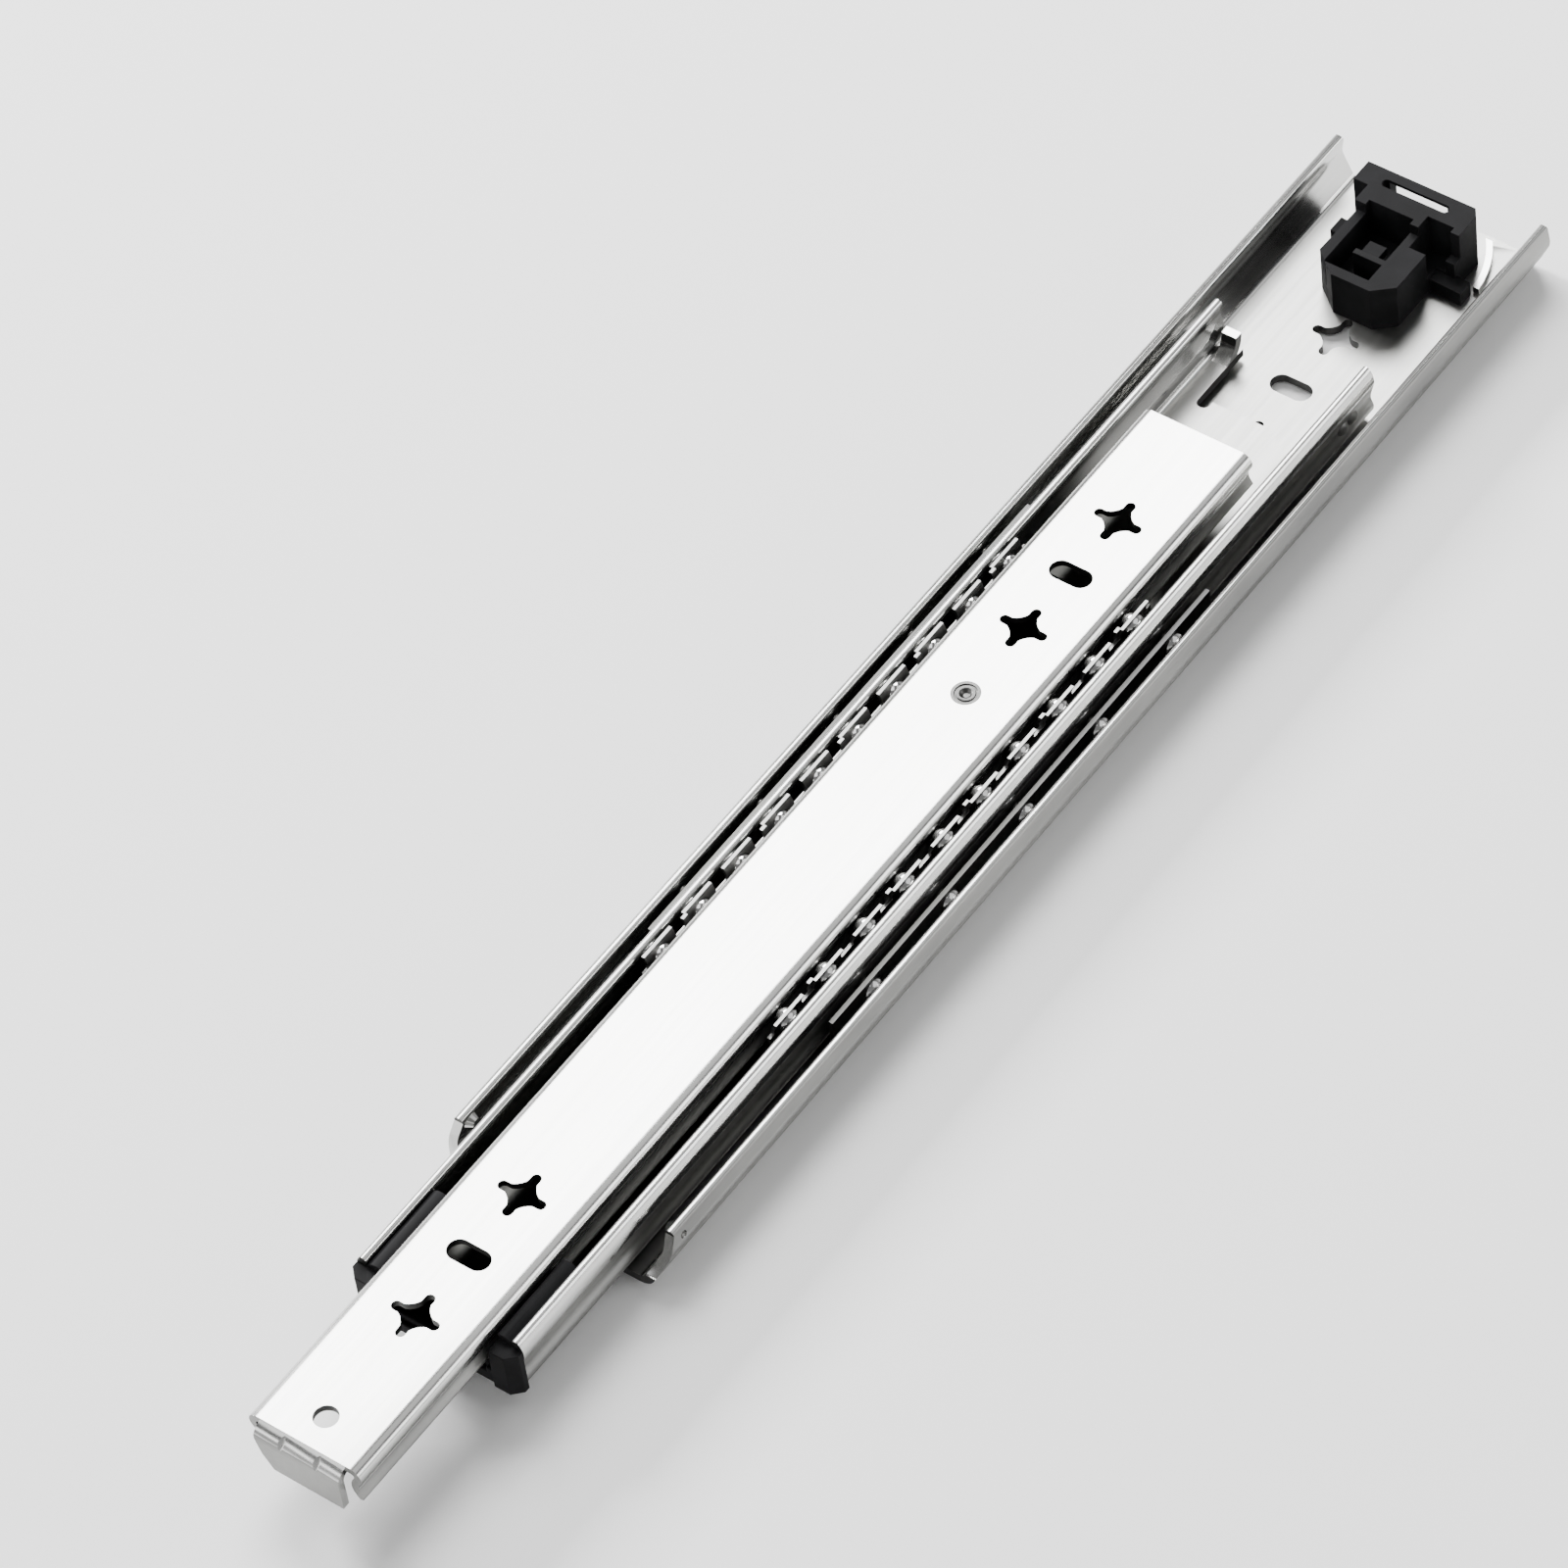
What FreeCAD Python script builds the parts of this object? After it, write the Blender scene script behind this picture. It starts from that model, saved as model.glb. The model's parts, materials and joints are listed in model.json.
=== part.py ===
"""Three-section ball-bearing cabinet drawer slide, 300 mm long, partly pulled out.

Millimetres. X is across the slide, Y runs from the front (pull) end to the rear, Z is up from
the cabinet mounting face. While the pieces are made, the front end of the cabinet member is at
Y = 0. They are saved with the middle of its mounting face at the origin.
"""
import FreeCAD, Part
import math
import os

os.makedirs("parts", exist_ok=True)

V = FreeCAD.Vector

# --- driving dimensions -------------------------------------------------------------------
CABINET_LENGTH = 300.0
TOTAL_HEIGHT = 19.0
HOLE_PITCH = 32.0
FIRST_HOLE = 37.0
HOLE_GROUP_SPAN = 192.0

MIDDLE_PULL = 33.4
DRAWER_PULL = 33.4

CABINET_SHEET = 2.0
MIDDLE_SHEET = 1.9
DRAWER_SHEET = 1.6
MIDDLE_FLOOR = 3.2
EDGE_CROWN = 0.35

BALL_RADIUS = 2.778
BALL_PLAY = 0.04
INNER_ROW_X = 14.6
INNER_ROW_Z = 13.5
OUTER_ROW_X = 21.1
OUTER_ROW_Z = 8.5

# closed positions along Y, before the pull
MIDDLE_FRONT_CLOSED = 1.6
MIDDLE_REAR_CLOSED = 279.9
DRAWER_HOLE_CLOSED = 28.8
INNER_CAGE_FRONT_CLOSED = 100.0
OUTER_CAGE_FRONT_CLOSED = 77.0

CAGE_LENGTH = 125.0
INNER_BALL_COUNT = 10
INNER_BALL_PITCH = 12.6
OUTER_BALL_COUNT = 5
OUTER_BALL_PITCH = 24.9
INNER_CAGE_SHEET = 0.8
OUTER_CAGE_SHEET = 1.0

STAR_REACH = 5.4
STAR_ARM = 2.1
STAR_ROOT = 3.25
STAR_HOLLOW = 1.944
SLOT_LENGTH = 9.4
SLOT_WIDTH = 4.8
PULL_HOLE_DIAMETER = 5.0
RIVET_DIAMETER = 6.0

# along the drawer member, from its first hole
DRAWER_WALL_BEFORE_HOLE = 33.0
DRAWER_TAB_BEFORE_HOLE = 35.8
PULL_HOLE_BEFORE_HOLE = 26.3
RIVET_BEHIND_HOLE = 172.8
DRAWER_BEHIND_HOLE = 251.4

# --- positions in the built pose -----------------------------------------------------------
MIDDLE_FRONT = MIDDLE_FRONT_CLOSED - MIDDLE_PULL
MIDDLE_REAR = MIDDLE_REAR_CLOSED - MIDDLE_PULL
DRAWER_HOLE = DRAWER_HOLE_CLOSED - MIDDLE_PULL - DRAWER_PULL
DRAWER_WALL_FRONT = DRAWER_HOLE - DRAWER_WALL_BEFORE_HOLE
DRAWER_TAB_FRONT = DRAWER_HOLE - DRAWER_TAB_BEFORE_HOLE
DRAWER_REAR = DRAWER_HOLE + DRAWER_BEHIND_HOLE
OUTER_CAGE_FRONT = OUTER_CAGE_FRONT_CLOSED - MIDDLE_PULL / 2
INNER_CAGE_FRONT = INNER_CAGE_FRONT_CLOSED - MIDDLE_PULL - DRAWER_PULL / 2
MIDDLE_FLOOR_TOP = MIDDLE_FLOOR + MIDDLE_SHEET
RIVET_Y = DRAWER_HOLE + RIVET_BEHIND_HOLE


# --- helpers -------------------------------------------------------------------------------
def around(x, z, radius, degrees):
    """The point of a circle in the XZ section."""
    angle = math.radians(degrees)
    return (x + radius * math.cos(angle), z + radius * math.sin(angle))


def arc_step(x, z, radius, start, end):
    """Three points of an arc in the XZ section."""
    return [around(x, z, radius, degrees) for degrees in (start, (start + end) / 2, end)]


def toward(start, degrees, level):
    """Where a line from start, in the given direction, reaches the height level."""
    reach = (level - start[1]) / math.sin(math.radians(degrees))
    return (start[0] + reach * math.cos(math.radians(degrees)), level)


def corner_step(before, at, after, radius):
    """Three points of the arc that rounds a corner in the XZ section."""
    apex = V(at[0], 0, at[1])
    a = (V(before[0], 0, before[1]) - apex).normalize()
    b = (V(after[0], 0, after[1]) - apex).normalize()
    half = a.getAngle(b) / 2
    centre = apex + (a + b).normalize() * (radius / math.sin(half))
    middle = centre + (apex - centre).normalize() * radius
    reach = radius / math.tan(half)
    return [(point.x, point.z) for point in (apex + a * reach, middle, apex + b * reach)]


def shifted(step, offset):
    """A straight run or an arc of the section, moved to its left by offset."""
    if len(step) == 2:
        (x0, z0), (x1, z1) = step
        length = math.hypot(x1 - x0, z1 - z0)
        across = (-(z1 - z0) / length * offset, (x1 - x0) / length * offset)
        return [(x + across[0], z + across[1]) for x, z in step]
    arc = Part.Arc(*[V(x, 0, z) for x, z in step]).toShape().Curve
    (x0, z0), (x1, z1), (x2, z2) = step
    turns_left = (x1 - x0) * (z2 - z1) > (z1 - z0) * (x2 - x1)
    scale = 1 - offset / arc.Radius if turns_left else 1 + offset / arc.Radius
    centre = (arc.Center.x, arc.Center.z)
    return [tuple(c + (p - c) * scale for p, c in zip(point, centre)) for point in step]


def edge(step):
    points = [V(x, 0, z) for x, z in step]
    if len(points) == 2:
        return Part.LineSegment(*points).toShape()
    return Part.Arc(*points).toShape()


def crowned(start, end, bulge):
    """Three points of the arc that rounds a sheet's edge, bulging to the left of start-to-end."""
    (x0, z0), (x1, z1) = start, end
    length = math.hypot(x1 - x0, z1 - z0)
    middle = ((x0 + x1) / 2 - (z1 - z0) / length * bulge, (z0 + z1) / 2 + (x1 - x0) / length * bulge)
    return [start, middle, end]


def sheet_section(half, sheet):
    """Face of a bent sheet in the XZ plane, from the middle line of its right half."""
    left = [[(-x, z) for x, z in reversed(step)] for step in reversed(half)]
    path = left + half
    upper = [shifted(step, sheet / 2) for step in path]
    lower = [list(reversed(shifted(step, -sheet / 2))) for step in reversed(path)]
    right_end = crowned(upper[-1][-1], lower[0][0], EDGE_CROWN * sheet)
    left_end = crowned(lower[-1][-1], upper[0][0], EDGE_CROWN * sheet)
    edges = [edge(step) for step in upper + [right_end] + lower + [left_end]]
    return Part.Face(Part.Wire(edges))


def along(face, front, rear):
    """Extrude an XZ face from front to rear."""
    placed = face.copy()
    placed.translate(V(0, front, 0))
    return placed.extrude(V(0, rear - front, 0))


def box(x0, x1, y0, y1, z0, z1):
    return Part.makeBox(x1 - x0, y1 - y0, z1 - z0, V(x0, y0, z0))


def upright(x, y, z0, z1, radius):
    return Part.makeCylinder(radius, z1 - z0, V(x, y, z0))


def plate(points, z0, z1):
    """A straight-sided plate from its XY outline."""
    outline = [V(x, y, z0) for x, y in points]
    return Part.Face(Part.makePolygon(outline + outline[:1])).extrude(V(0, 0, z1 - z0))


def side_plate(points, x0, x1):
    """A straight-sided plate from its YZ outline."""
    outline = [V(x0, y, z) for y, z in points]
    return Part.Face(Part.makePolygon(outline + outline[:1])).extrude(V(x1 - x0, 0, 0))


def joined(shapes):
    return shapes[0].fuse(shapes[1:]).removeSplitter()


def save(name, shape):
    placed = shape.copy()
    placed.translate(V(0, -CABINET_LENGTH / 2, 0))
    placed.exportStep("parts/" + name + ".step")


# --- hole shapes ---------------------------------------------------------------------------
def star_hole(y, z0, z1):
    """Four round-ended arms along X and Y with hollow sides between them."""
    tip = STAR_ARM / 2
    straight = STAR_REACH - tip
    edges = []
    for quarter in range(4):
        turn = FreeCAD.Rotation(V(0, 0, 1), 90 * quarter)
        out = [V(straight, -tip, 0), V(STAR_REACH, 0, 0), V(straight, tip, 0)]
        hollow = [V(STAR_ROOT, tip, 0), V(STAR_HOLLOW, STAR_HOLLOW, 0), V(tip, STAR_ROOT, 0)]
        edges.append(Part.Arc(*[turn.multVec(point) for point in out]).toShape())
        edges.append(Part.LineSegment(turn.multVec(out[2]), turn.multVec(hollow[0])).toShape())
        edges.append(Part.Arc(*[turn.multVec(point) for point in hollow]).toShape())
        following = FreeCAD.Rotation(V(0, 0, 1), 90 * quarter + 90)
        edges.append(Part.LineSegment(turn.multVec(hollow[2]), following.multVec(out[0])).toShape())
    face = Part.Face(Part.Wire(edges))
    face.translate(V(0, y, z0))
    return face.extrude(V(0, 0, z1 - z0))


def slot_hole(y, z0, z1):
    """A round-ended slot that runs across the slide."""
    reach = (SLOT_LENGTH - SLOT_WIDTH) / 2
    half = SLOT_WIDTH / 2
    ends = [upright(side * reach, y, z0, z1, half) for side in (-1, 1)]
    return joined([box(-reach, reach, y - half, y + half, z0, z1)] + ends)


def mounting_holes(first, z0, z1):
    """The 32 mm system pattern: two groups of star, slot, star."""
    holes = []
    for group in (first, first + HOLE_GROUP_SPAN):
        holes.append(star_hole(group, z0, z1))
        holes.append(slot_hole(group + HOLE_PITCH / 2, z0, z1))
        holes.append(star_hole(group + HOLE_PITCH, z0, z1))
    return holes


# --- sheet sections ------------------------------------------------------------------------
# the ball tracks' arcs, in degrees from +X round each row of balls
CABINET_TRACK = (-25, 8)
CABINET_FOOT_SLOPE = 65
CABINET_LIP_SLOPE = 98
CABINET_LIP_TOP = 11.9
CABINET_BEND = 3.0
MIDDLE_LIP_END = 40
MIDDLE_TRACK_START = 205
MIDDLE_BEND = 1.8
DRAWER_TRACK = (145, 215)
DRAWER_WALL_BOTTOM = 10.9
DRAWER_BEND = 1.5


def cabinet_section():
    radius = BALL_RADIUS + BALL_PLAY + CABINET_SHEET / 2
    lip = arc_step(OUTER_ROW_X, OUTER_ROW_Z, radius, *CABINET_TRACK)
    top = toward(lip[2], CABINET_LIP_SLOPE, CABINET_LIP_TOP)
    centre = (0, CABINET_SHEET / 2)
    foot = toward(lip[0], 180 + CABINET_FOOT_SLOPE, centre[1])
    bend = corner_step(centre, foot, lip[0], CABINET_BEND)
    half = [[centre, bend[0]], bend, [bend[2], lip[0]], lip, [lip[2], top]]
    return sheet_section(half, CABINET_SHEET)


def middle_section():
    """The track of each row of balls, joined by the line that touches both tracks."""
    radius = BALL_RADIUS + BALL_PLAY + MIDDLE_SHEET / 2
    run = math.hypot(OUTER_ROW_X - INNER_ROW_X, INNER_ROW_Z - OUTER_ROW_Z)
    slope = math.degrees(math.atan2(OUTER_ROW_Z - INNER_ROW_Z, OUTER_ROW_X - INNER_ROW_X))
    turn = slope + 90 - math.degrees(math.asin(2 * radius / run))
    upper = arc_step(INNER_ROW_X, INNER_ROW_Z, radius, turn, MIDDLE_LIP_END)
    lower = arc_step(OUTER_ROW_X, OUTER_ROW_Z, radius, MIDDLE_TRACK_START, 180 + turn)
    centre = (0, MIDDLE_FLOOR + MIDDLE_SHEET / 2)
    foot = toward(lower[0], MIDDLE_TRACK_START + 90, centre[1])
    bend = corner_step(centre, foot, lower[0], MIDDLE_BEND)
    half = [[centre, bend[0]], bend, [bend[2], lower[0]], lower, [lower[2], upper[0]], upper]
    return sheet_section(half, MIDDLE_SHEET)


def drawer_section():
    radius = BALL_RADIUS + BALL_PLAY + DRAWER_SHEET / 2
    groove = arc_step(INNER_ROW_X, INNER_ROW_Z, radius, *DRAWER_TRACK)
    top = (0, TOTAL_HEIGHT - DRAWER_SHEET / 2)
    shoulder = toward(groove[0], DRAWER_TRACK[0] - 90, top[1])
    bend = corner_step(top, shoulder, groove[0], DRAWER_BEND)
    bottom = toward(groove[2], DRAWER_TRACK[1] + 90, DRAWER_WALL_BOTTOM)
    half = [[top, bend[0]], bend, [bend[2], groove[0]], groove, [groove[2], bottom]]
    return sheet_section(half, DRAWER_SHEET)


# --- cabinet member ------------------------------------------------------------------------
CRIMP_Y = 7.6
CRIMP_Z = 9.9
CRIMP_RADIUS = 2.2
CRIMP_INNER_X = 24.2
CRIMP_DEPTH = 1.9
DENT_OUTER_X = 27.0
DENT_RADIUS = 0.6
DENT_DEPTH = 2.2
WALL_OUTSIDE = 30.0
WALL_FRONT_CUT = [(-1, 3.0), (-1, 20), (5.2, 20), (5.2, 11.5), (0.4, 3.0)]
WALL_REAR_CUT = [(CABINET_LENGTH - 2.5, 20), (CABINET_LENGTH + 1, 20), (CABINET_LENGTH + 1, 9)]


def cabinet_member():
    """Outer channel with its holes, and a crimp in each wall that stops the cages in front."""
    body = along(cabinet_section(), 0, CABINET_LENGTH)
    cuts = mounting_holes(FIRST_HOLE, -1, CABINET_SHEET + 1)
    for outline in (WALL_FRONT_CUT, WALL_REAR_CUT):
        cuts.append(side_plate(outline, -WALL_OUTSIDE, WALL_OUTSIDE))
    body = body.cut(cuts)
    for side in (-1, 1):
        inward = V(-side, 0, 0)
        bump_start = V(side * CRIMP_INNER_X, CRIMP_Y, CRIMP_Z)
        dent_start = V(side * DENT_OUTER_X, CRIMP_Y, CRIMP_Z)
        bump = Part.makeCone(CRIMP_RADIUS, CRIMP_RADIUS / 2, CRIMP_DEPTH, bump_start, inward)
        dent = Part.makeCone(CRIMP_RADIUS / 2, DENT_RADIUS, DENT_DEPTH, dent_start, inward)
        body = body.fuse(bump).cut(dent)
    return joined([body, lanced_rib()])


RIB_RADIUS = 24.0
RIB_WIDTH = 1.3
RIB_OUTER_X = 17.0
RIB_MIDDLE_Y = 283.0
RIB_FRONT = 285.4
RIB_REAR = 298.0
RIB_RISE = 1.6


def lanced_rib():
    """Low curved ridge pressed up beside the bumper."""
    low = CABINET_SHEET / 2
    high = CABINET_SHEET + RIB_RISE
    outer = upright(RIB_OUTER_X - RIB_RADIUS, RIB_MIDDLE_Y, low, high, RIB_RADIUS + RIB_WIDTH)
    inner = upright(RIB_OUTER_X - RIB_RADIUS, RIB_MIDDLE_Y, low, high, RIB_RADIUS)
    return outer.cut(inner).common(box(0, WALL_OUTSIDE, RIB_FRONT, RIB_REAR, low, high))


# --- rear bumper ---------------------------------------------------------------------------
BUMPER_TOP = 15.8
BUMPER_HALF = 13.5
BUMPER_FRONT = 284.0
BUMPER_REAR = 294.3
BUMPER_CORNER_FRONT = 288.8
BUMPER_CORNER_X = -10.0
BUMPER_CHAMFER = [(14.5, 291.0), (14.5, 296.0), (11.0, 296.0)]
NOSE_OUTLINE = [(-4.2, 266.4), (5.0, 266.4), (9.2, 270.0), (9.2, 284.0), (-9.5, 284.0), (-9.9, 271.0)]
NOSE_TOP = 13.2
FOOT_OUTLINE = [(-15.4, 282.4), (16.8, 280.9), (16.8, 284.6), (-15.4, 286.5)]
FOOT_HEIGHT = 3.5
SLOT_FRONT = 290.0
SLOT_REAR = 292.0
SLOT_HALF = 6.9
STRAP_BOTTOM = 15.0
UNDER_STRAP_FLOOR = 5.0
POCKET_FLOOR = 6.0
POCKETS = [(-7.4, 3.2, 275.0, 285.4), (-7.4, 3.2, 268.8, 273.6), (-7.4, -3.8, 273.0, 276.0),
           (5.2, 11.4, 280.5, 287.6)]
SIDE_RELIEF = (9.4, 14.5, 280.0, 286.2, 9.4)
POST = (-3.4, 0.6, 276.2, 277.8, 5.5)
HOOK = (-3.4, 0.6, 276.2, 279.4, 9.6)
POST_TOP = 11.5
ABOVE = 20.0


def rear_bumper():
    """Ribbed plastic block that the closing members run up against, held by its foot."""
    floor = CABINET_SHEET
    block = box(-BUMPER_HALF, BUMPER_HALF, BUMPER_FRONT, BUMPER_REAR, floor, BUMPER_TOP)
    nose = plate(NOSE_OUTLINE, floor, NOSE_TOP)
    foot_top = floor + FOOT_HEIGHT
    foot = plate(FOOT_OUTLINE, floor, foot_top)
    body = joined([block, nose, foot])
    slot_radius = (SLOT_REAR - SLOT_FRONT) / 2
    slot_middle = SLOT_FRONT + slot_radius
    cuts = [
        box(-SLOT_HALF, SLOT_HALF, SLOT_FRONT, SLOT_REAR, 0, ABOVE),
        upright(-SLOT_HALF, slot_middle, 0, ABOVE, slot_radius),
        upright(SLOT_HALF, slot_middle, 0, ABOVE, slot_radius),
        box(-SLOT_HALF, SLOT_HALF, slot_middle, BUMPER_REAR + 1, UNDER_STRAP_FLOOR, STRAP_BOTTOM),
        box(-BUMPER_HALF - 1, BUMPER_CORNER_X, BUMPER_FRONT - 1, BUMPER_CORNER_FRONT, foot_top, ABOVE),
        plate(BUMPER_CHAMFER, 0, ABOVE),
        box(*SIDE_RELIEF, ABOVE),
    ]
    for pocket in POCKETS:
        cuts.append(box(*pocket, POCKET_FLOOR, ABOVE))
    return joined([body.cut(cuts), box(*POST, POST_TOP), box(*HOOK, POST_TOP)])


# --- intermediate member -------------------------------------------------------------------
FLOOR_END = 231.4
OPENING_LEFT = -9.5
OPENING_RIGHT = 14.2
OPENING_BEVEL_X = 4.4
OPENING_BEVEL_Y = 224.5
SLIT_LEFT = -12.4
SLIT_FRONT = 230.5
STAKE_Y = (236.4, 239.8)
STAKE_X = 17.4
STAKE_RADIUS = 1.9
STAKE_INNER_X = 16.6
STAKE_SPACE = (4.0, 14.0)
FLOOR_CUT_MARGIN = 1.2


def intermediate_member():
    """Middle channel. Its floor is cut back at the rear, and small stakes stop the outer cages."""
    body = along(middle_section(), MIDDLE_FRONT, MIDDLE_REAR)
    under = MIDDLE_FLOOR - 1
    over = MIDDLE_FLOOR_TOP + FLOOR_CUT_MARGIN
    beyond = MIDDLE_REAR + 1
    outline = [(OPENING_LEFT, FLOOR_END), (OPENING_BEVEL_X, FLOOR_END),
               (OPENING_RIGHT, OPENING_BEVEL_Y), (OPENING_RIGHT, beyond), (OPENING_LEFT, beyond)]
    opening = plate(outline, under, over)
    slit_radius = (OPENING_LEFT - SLIT_LEFT) / 2
    slit = joined([box(SLIT_LEFT, OPENING_LEFT, SLIT_FRONT, beyond, under, over),
                   upright(SLIT_LEFT + slit_radius, SLIT_FRONT, under, over, slit_radius)])
    body = body.cut([opening, slit])
    front = STAKE_Y[0] - STAKE_RADIUS - 1
    rear = STAKE_Y[1] + STAKE_RADIUS + 1
    inside = box(-STAKE_INNER_X, STAKE_INNER_X, front, rear, *STAKE_SPACE)
    for side in (-1, 1):
        for y in STAKE_Y:
            stake = Part.makeSphere(STAKE_RADIUS, V(side * STAKE_X, y, OUTER_ROW_Z))
            body = body.fuse(stake.cut(inside))
    return joined([body, rear_tab()])


TAB_CURVE = 4.6
TAB_TIP = 0.1
REAR_TAB_LEFT = -16.0
REAR_TAB_RIGHT = -12.5


def rear_tab():
    """The end of the left floor strip, curled up."""
    width = REAR_TAB_RIGHT - REAR_TAB_LEFT
    middle_y = MIDDLE_REAR - TAB_CURVE - MIDDLE_SHEET
    middle_z = MIDDLE_FLOOR_TOP + TAB_CURVE
    axis = V(REAR_TAB_LEFT, middle_y, middle_z)
    outer = Part.makeCylinder(TAB_CURVE + MIDDLE_SHEET, width, axis, V(1, 0, 0))
    inner = Part.makeCylinder(TAB_CURVE, width, axis, V(1, 0, 0))
    top = middle_z + TAB_TIP
    quarter = box(REAR_TAB_LEFT, REAR_TAB_RIGHT, middle_y, MIDDLE_REAR, MIDDLE_FLOOR, top)
    tip = box(REAR_TAB_LEFT, REAR_TAB_RIGHT, middle_y + TAB_CURVE, MIDDLE_REAR, middle_z, top)
    return joined([outer.cut(inner).common(quarter), tip])


# --- front caps ----------------------------------------------------------------------------
CAP_FLANGE = 3.3
CAP_BODY = 20.0
CAP_INSIDE = 13.5
CAP_CLEARANCE = 0.12
CAP_BOTTOM = MIDDLE_FLOOR + 0.4
CAP_TOP = 14.6
CAP_WEB_TOP = 15.6
CAP_WEB_OUTSIDE = 16.0
CAP_FLANGE_OUTSIDE = 19.2
CAP_BEVEL = 2.0
BRIDGE_TOP = 7.6
BRIDGE_SETBACK = 0.6
BRIDGE_RIB = 1.5
BRIDGE_GROOVE_DEPTH = 1.2
BRIDGE_GROOVE_HALF = 11.5
CAP_FRONT = MIDDLE_FRONT - CAP_FLANGE


def front_cap(side):
    """Plastic cap that closes the front end of the intermediate wall on one side."""
    radius = BALL_RADIUS + BALL_PLAY - CAP_CLEARANCE
    rear = MIDDLE_FRONT + CAP_BODY
    outline = [(CAP_INSIDE, CAP_FRONT), (CAP_FLANGE_OUTSIDE - CAP_BEVEL, CAP_FRONT),
               (CAP_FLANGE_OUTSIDE, CAP_FRONT + CAP_BEVEL), (CAP_FLANGE_OUTSIDE, MIDDLE_FRONT),
               (CAP_INSIDE, MIDDLE_FRONT)]
    flange = plate(outline, CAP_BOTTOM, CAP_TOP)
    row_start = V(INNER_ROW_X, MIDDLE_FRONT, INNER_ROW_Z)
    under_lip = Part.makeCylinder(radius, CAP_BODY, row_start, V(0, 1, 0))
    web_bottom = MIDDLE_FLOOR_TOP + CAP_CLEARANCE
    web = box(CAP_INSIDE, CAP_WEB_OUTSIDE, MIDDLE_FRONT, rear, web_bottom, CAP_WEB_TOP)
    cap = joined([flange, under_lip, web])
    cap = cap.common(box(CAP_INSIDE, WALL_OUTSIDE, CAP_FRONT - 1, rear + 1, 0, CAP_WEB_TOP + 1))
    if side < 0:
        cap = cap.mirror(V(0, 0, 0), V(1, 0, 0))
    return cap


def front_bridge():
    """Low plastic bar between the two caps, in front of the intermediate floor."""
    front = CAP_FRONT + BRIDGE_SETBACK
    bar = box(-CAP_INSIDE, CAP_INSIDE, front, MIDDLE_FRONT, CAP_BOTTOM, BRIDGE_TOP)
    groove_floor = BRIDGE_TOP - BRIDGE_GROOVE_DEPTH
    groove_rear = MIDDLE_FRONT - BRIDGE_RIB
    half = BRIDGE_GROOVE_HALF
    return bar.cut(box(-half, half, front - 1, groove_rear, groove_floor, BRIDGE_TOP + 1))


# --- drawer member -------------------------------------------------------------------------
TAB_HALF = 9.8
TAB_BOTTOM = 9.2
TAB_BEND = 3.0
TAB_CORNER_TOP = 17.0
TAB_CORNER_KNEE = (-8.4, 12.6)
TAB_CORNER_END = -6.2
DART_X = (-3.7, 4.4)
DART_HALF_WIDTH = 0.7
DART_DEPTH = 0.45


def drawer_tab():
    """The front end of the face, bent down, with its left lower corner cut away."""
    front = DRAWER_TAB_FRONT
    top = TOTAL_HEIGHT
    rear = DRAWER_WALL_FRONT + 1
    inner = TAB_BEND - DRAWER_SHEET
    face = box(-TAB_HALF, TAB_HALF, front + TAB_BEND, rear, top - DRAWER_SHEET, top)
    tab = box(-TAB_HALF, TAB_HALF, front, front + DRAWER_SHEET, TAB_BOTTOM, top - TAB_BEND)
    axis = V(-TAB_HALF, front + TAB_BEND, top - TAB_BEND)
    bend = Part.makeCylinder(TAB_BEND, 2 * TAB_HALF, axis, V(1, 0, 0))
    bend = bend.cut(Part.makeCylinder(inner, 2 * TAB_HALF, axis, V(1, 0, 0)))
    bend = bend.common(box(-TAB_HALF, TAB_HALF, front, front + TAB_BEND, top - TAB_BEND, top))
    whole = joined([face, tab, bend])
    beyond = -TAB_HALF - 1
    below = TAB_BOTTOM - 1
    outline = [(beyond, TAB_CORNER_TOP), (-TAB_HALF, TAB_CORNER_TOP), TAB_CORNER_KNEE,
               (TAB_CORNER_END, TAB_BOTTOM), (TAB_CORNER_END, below), (beyond, below)]
    corner = Part.Face(Part.makePolygon([V(x, front - 1, z) for x, z in outline + outline[:1]]))
    return whole.cut([corner.extrude(V(0, TAB_BEND, 0))] + [fold_dart(x) for x in DART_X])


def fold_dart(x):
    """Short V groove pressed across the fold."""
    out = V(0, -1, 1).normalize()
    run = V(0, -1, -1).normalize() * TAB_BEND
    surface = V(x, DRAWER_TAB_FRONT + TAB_BEND, TOTAL_HEIGHT - TAB_BEND) + out * TAB_BEND - run
    bottom = surface - out * DART_DEPTH
    rise = out * DART_DEPTH
    across = V(2 * DART_HALF_WIDTH, 0, 0)
    outline = [bottom, surface + rise - across, surface + rise + across]
    return Part.Face(Part.makePolygon(outline + outline[:1])).extrude(run * 2)


def drawer_member():
    """Inner channel, face up, with its holes and its folded front end."""
    body = along(drawer_section(), DRAWER_WALL_FRONT, DRAWER_REAR)
    body = joined([body, drawer_tab()])
    through = (TOTAL_HEIGHT - DRAWER_SHEET - 1, TOTAL_HEIGHT + 1)
    pull_y = DRAWER_HOLE - PULL_HOLE_BEFORE_HOLE
    holes = mounting_holes(DRAWER_HOLE, *through)
    holes.append(upright(0, pull_y, *through, PULL_HOLE_DIAMETER / 2))
    holes.append(upright(0, RIVET_Y, *through, RIVET_DIAMETER / 2))
    return body.cut(holes)


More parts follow.
